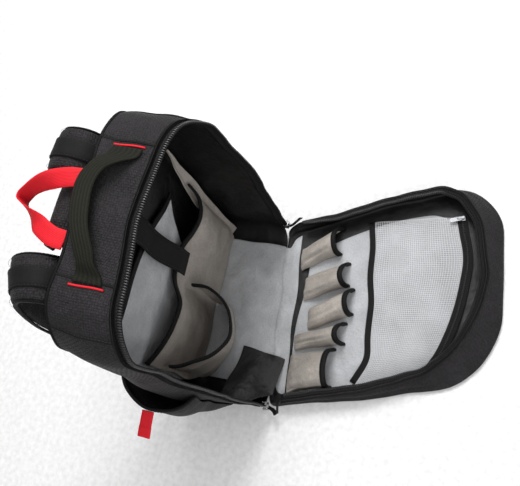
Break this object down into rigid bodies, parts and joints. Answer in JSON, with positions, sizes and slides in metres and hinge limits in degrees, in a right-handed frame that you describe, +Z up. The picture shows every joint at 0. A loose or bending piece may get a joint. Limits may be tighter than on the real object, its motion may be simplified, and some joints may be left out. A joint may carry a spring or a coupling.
{
  "type": "tool backpack",
  "caption": "Upright tool backpack with its front panel folded down flat, lined pockets, mesh pocket, padded straps, carry handle and grab loop.",
  "frame": {"origin": "centre of the body's flat underside, on the floor", "axes": "+Z up, -Y towards the opening and the folded front panel, +X towards the side without the outer pocket"},
  "size_m": [0.5103, 0.5999, 0.4675],
  "materials": {
    "black_polyester": "coarse woven polyester, matt",
    "black_trim": "woven tape and binding, matt",
    "dark_webbing": "ribbed webbing, matt",
    "red_webbing": "flat woven webbing, satin",
    "light_grey_lining": "coated lining, satin",
    "warm_grey_lining": "coated lining, satin",
    "white_mesh": "open square mesh, matt",
    "bright_metal": "plated die casting, bright",
    "black_plastic": "moulded, matt"
  },
  "bodies": {
    "pack": {"body_shell": "black_polyester", "front_panel_shell": "black_polyester", "body_zip": "black_trim", "front_panel_zip": "black_trim", "floor_lining": "light_grey_lining", "front_panel_lining": "light_grey_lining", "tool_pocket_1": "warm_grey_lining", "tool_pocket_1_binding": "black_trim", "tool_pocket_2": "warm_grey_lining", "tool_pocket_2_binding": "black_trim", "tool_pocket_3": "warm_grey_lining", "tool_pocket_3_binding": "black_trim", "tool_pocket_4": "warm_grey_lining", "tool_pocket_4_binding": "black_trim", "tool_pocket_5": "warm_grey_lining", "tool_pocket_5_binding": "black_trim", "mesh_pocket": "white_mesh", "mesh_pocket_hem": "black_trim", "mesh_pocket_zip": "black_trim", "rear_pocket": "light_grey_lining", "rear_pocket_binding": "black_trim", "front_pocket": "warm_grey_lining", "front_pocket_binding": "black_trim", "lower_pocket": "warm_grey_lining", "lower_pocket_binding": "black_trim", "closing_strap": "black_trim", "carry_handle": "dark_webbing", "handle_strip_far": "red_webbing", "handle_strip_near": "red_webbing", "grab_loop": "red_webbing", "shoulder_strap_far": "black_polyester", "strap_buckle_far": "black_plastic", "lower_webbing_far": "dark_webbing", "shoulder_strap_near": "black_polyester", "strap_buckle_near": "black_plastic", "lower_webbing_near": "dark_webbing", "strap_yoke": "black_polyester", "side_pocket": "black_polyester", "side_pocket_binding": "black_trim", "side_tab": "red_webbing", "zip_slider_far": "bright_metal", "zip_slider_near": "bright_metal", "mesh_zip_slider": "bright_metal", "zip_end_tape_far": "black_trim", "zip_end_tape_near": "black_trim", "near_wall_lining": "black_trim", "corner_strip": "warm_grey_lining"},
    "far_pull": {"zip_pull_far": "bright_metal"},
    "near_pull": {"zip_pull_near": "bright_metal"},
    "mesh_pull": {"mesh_zip_pull": "bright_metal"}
  },
  "joints": [
    {"name": "far_pull_hinge", "type": "hinge", "parent": "pack", "child": "far_pull", "pos_m": [0.1662, -0.05704, 0.035], "axis": [-0.0325, -0.9995, 0], "range_deg": [0, 160]},
    {"name": "near_pull_hinge", "type": "hinge", "parent": "pack", "child": "near_pull", "pos_m": [-0.16497, -0.0892, 0.035], "axis": [-0.0711, 0.9975, 0], "range_deg": [0, 160]},
    {"name": "mesh_pull_hinge", "type": "hinge", "parent": "pack", "child": "mesh_pull", "pos_m": [0.21354, -0.35516, 0.0128], "axis": [0.9403, 0.3404, 0], "range_deg": [0, 160]}
  ]
}
